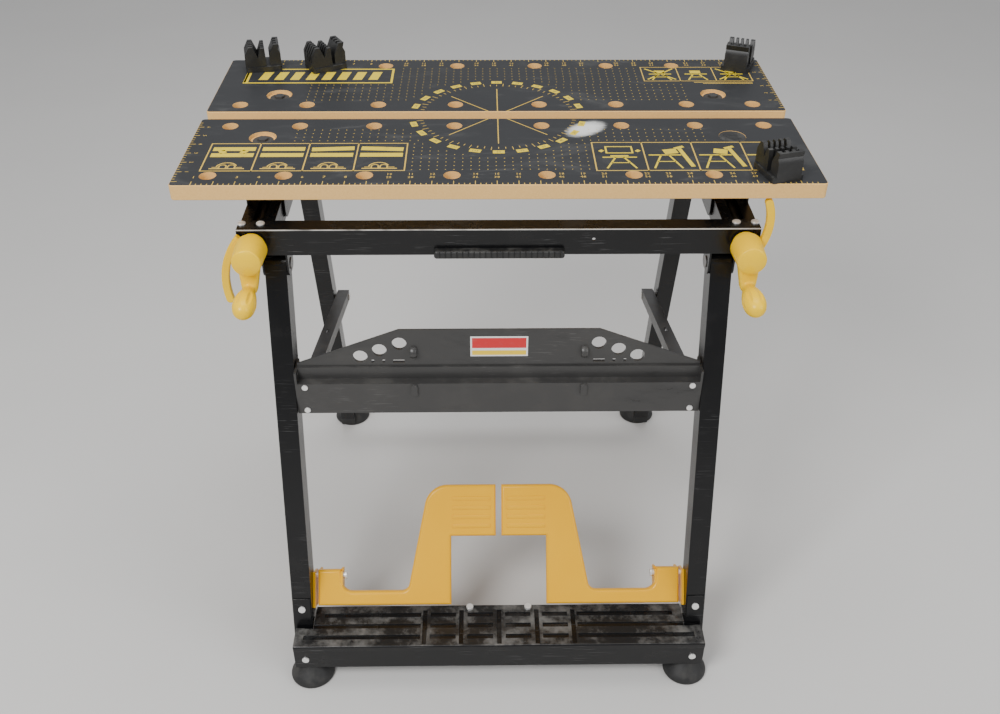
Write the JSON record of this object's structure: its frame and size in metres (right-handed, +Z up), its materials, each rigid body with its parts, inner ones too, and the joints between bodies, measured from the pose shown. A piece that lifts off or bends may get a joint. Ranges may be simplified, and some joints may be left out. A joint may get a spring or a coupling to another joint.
{
  "type": "folding clamping workbench",
  "caption": "Folding workbench with two slotted jaw boards, crank and pedal clamping, a tool rack, a step and swivelling bench dogs.",
  "frame": {"origin": "on the floor under the middle of the bench's bounding box", "axes": "+X to the user's right along the boards, +Y away from the user, +Z up"},
  "size_m": [0.768, 0.6482, 0.752],
  "materials": {
    "board": "dark printed face on raw fibreboard",
    "black_paint": "gloss black powder coat",
    "satin_paint": "satin dark grey paint",
    "yellow_paint": "gloss yellow paint",
    "yellow_plastic": "moulded yellow plastic",
    "black_plastic": "moulded black plastic",
    "zinc_steel": "bright zinc plate",
    "bare_steel": "oiled steel",
    "cast_block": "dark cast",
    "rubber": "moulded rubber",
    "label": "printed sticker with plain bands"
  },
  "bodies": {
    "top_frame": {"front_board": "board", "clamp_bolts_front": "zinc_steel", "recess_cap": "black_plastic", "rail_left": "black_paint", "rail_right": "black_paint", "front_beam": "black_paint", "rear_beam": "black_paint", "beam_screws": "zinc_steel", "carry_handle": "black_plastic", "front_saddle_left": "black_paint", "front_saddle_right": "black_paint", "front_spacers": "cast_block", "front_hinge_brackets": "black_paint", "front_hinge_pins": "bare_steel", "rear_hinge_brackets": "black_paint", "rear_hinge_pins": "bare_steel"},
    "rear_jaw": {"rear_board": "board", "clamp_bolts_rear": "zinc_steel", "rear_saddle_left": "black_paint", "rear_saddle_right": "black_paint", "jaw_nut_left": "cast_block", "jaw_nut_right": "cast_block"},
    "front_legs": {"front_leg_left": "black_paint", "front_leg_right": "black_paint", "front_foot_left": "rubber", "front_foot_right": "rubber", "tool_rack": "satin_paint", "label_plate": "label", "tread": "black_paint", "tread_skirt": "black_paint", "front_frame_screws": "zinc_steel", "pedal_brackets": "yellow_paint", "pedal_pins": "zinc_steel", "strut_pins": "bare_steel"},
    "rear_legs": {"rear_leg_left": "black_paint", "rear_leg_right": "black_paint", "rear_foot_left": "rubber", "rear_foot_right": "rubber", "rear_crossbar": "black_paint", "strut_studs": "bare_steel"},
    "struts": {"strut_left": "satin_paint", "strut_right": "satin_paint", "strut_rivets": "zinc_steel"},
    "left_crank": {"clamping_screw_left": "bare_steel", "crank_left": "yellow_plastic"},
    "left_grip": {"crank_grip_left": "yellow_plastic"},
    "left_lever": {"release_lever_left": "yellow_plastic"},
    "left_pedal": {"pedal_left": "yellow_paint"},
    "left_rod": {"pull_rod_left": "bare_steel"},
    "right_crank": {"clamping_screw_right": "bare_steel", "crank_right": "yellow_plastic"},
    "right_grip": {"crank_grip_right": "yellow_plastic"},
    "right_lever": {"release_lever_right": "yellow_plastic"},
    "right_pedal": {"pedal_right": "yellow_paint"},
    "right_rod": {"pull_rod_right": "bare_steel"},
    "dog_rear_outer": {"bench_dog_rear_outer": "black_plastic"},
    "dog_rear_inner": {"bench_dog_rear_inner": "black_plastic"},
    "dog_rear_right": {"bench_dog_rear_right": "black_plastic"},
    "dog_front": {"bench_dog_front": "black_plastic"}
  },
  "joints": [
    {"name": "left_crank_turn", "type": "hinge", "parent": "top_frame", "child": "left_crank", "pos_m": [-0.299, -0.159, 0.6305], "axis": [0, 1, 0], "range_deg": [-5040, 1602]},
    {"name": "right_crank_turn", "type": "hinge", "parent": "top_frame", "child": "right_crank", "pos_m": [0.299, -0.159, 0.6305], "axis": [0, 1, 0], "range_deg": [-5040, 1602]},
    {"name": "rear_jaw_slide", "type": "slide", "parent": "top_frame", "child": "rear_jaw", "axis": [0, 1, 0], "range_m": [-0.0222, 0.0699]},
    {"name": "left_grip_spin", "type": "hinge", "parent": "left_crank", "child": "left_grip", "pos_m": [-0.30279, -0.159, 0.58717], "axis": [0, 1, 0], "continuous": true},
    {"name": "left_lever_swing", "type": "hinge", "parent": "top_frame", "child": "left_lever", "pos_m": [-0.299, -0.152, 0.6305], "axis": [0, 1, 0], "range_deg": [0, 60]},
    {"name": "right_grip_spin", "type": "hinge", "parent": "right_crank", "child": "right_grip", "pos_m": [0.30279, -0.159, 0.58717], "axis": [0, 1, 0], "continuous": true},
    {"name": "right_lever_swing", "type": "hinge", "parent": "top_frame", "child": "right_lever", "pos_m": [0.299, -0.152, 0.6305], "axis": [0, 1, 0], "range_deg": [0, 60]},
    {"name": "front_leg_fold", "type": "hinge", "parent": "top_frame", "child": "front_legs", "pos_m": [0, -0.118, 0.586], "axis": [1, 0, 0], "range_deg": [0, 96]},
    {"name": "rear_leg_fold", "type": "hinge", "parent": "top_frame", "child": "rear_legs", "pos_m": [0, 0.1255, 0.586], "axis": [1, 0, 0], "range_deg": [0, 75.5]},
    {"name": "strut_swing", "type": "hinge", "parent": "front_legs", "child": "struts", "pos_m": [0, -0.159, 0.424], "axis": [1, 0, 0], "range_deg": [-78.2, 0]},
    {"name": "left_pedal_press", "type": "hinge", "parent": "front_legs", "child": "left_pedal", "pos_m": [-0.24, -0.22621, 0.13107], "axis": [-1, 0, 0], "range_deg": [0, 32], "stiffness_Nm_per_rad": 3, "springref_deg": -25.78},
    {"name": "left_rod_pull", "type": "slide", "parent": "front_legs", "child": "left_rod", "axis": [0, -0.2656, -0.9641], "range_m": [0, 0.0201]},
    {"name": "right_pedal_press", "type": "hinge", "parent": "front_legs", "child": "right_pedal", "pos_m": [0.24, -0.22621, 0.13107], "axis": [-1, 0, 0], "range_deg": [0, 32], "stiffness_Nm_per_rad": 3, "springref_deg": -25.78},
    {"name": "right_rod_pull", "type": "slide", "parent": "front_legs", "child": "right_rod", "axis": [0, -0.2656, -0.9641], "range_m": [0, 0.0201]},
    {"name": "dog_rear_outer_swivel", "type": "hinge", "parent": "rear_jaw", "child": "dog_rear_outer", "pos_m": [-0.343, 0.2154, 0.715], "axis": [0, 0, 1], "continuous": true},
    {"name": "dog_rear_inner_swivel", "type": "hinge", "parent": "rear_jaw", "child": "dog_rear_inner", "pos_m": [-0.254, 0.2154, 0.715], "axis": [0, 0, 1], "continuous": true},
    {"name": "dog_rear_right_swivel", "type": "hinge", "parent": "rear_jaw", "child": "dog_rear_right", "pos_m": [0.343, 0.2154, 0.715], "axis": [0, 0, 1], "continuous": true},
    {"name": "dog_front_swivel", "type": "hinge", "parent": "top_frame", "child": "dog_front", "pos_m": [0.343, -0.134, 0.715], "axis": [0, 0, 1], "continuous": true}
  ],
  "couplings": [
    {"joint": "left_crank_turn", "follows": "rear_jaw_slide", "rad_per_m": -1256.6},
    {"joint": "right_crank_turn", "follows": "rear_jaw_slide", "rad_per_m": -1256.6},
    {"joint": "rear_leg_fold", "follows": "front_leg_fold", "ratio": 0.785},
    {"joint": "strut_swing", "follows": "front_leg_fold", "ratio": -0.8135},
    {"joint": "left_rod_pull", "follows": "left_pedal_press", "m_per_rad": 0.0358},
    {"joint": "right_rod_pull", "follows": "right_pedal_press", "m_per_rad": 0.0358}
  ]
}
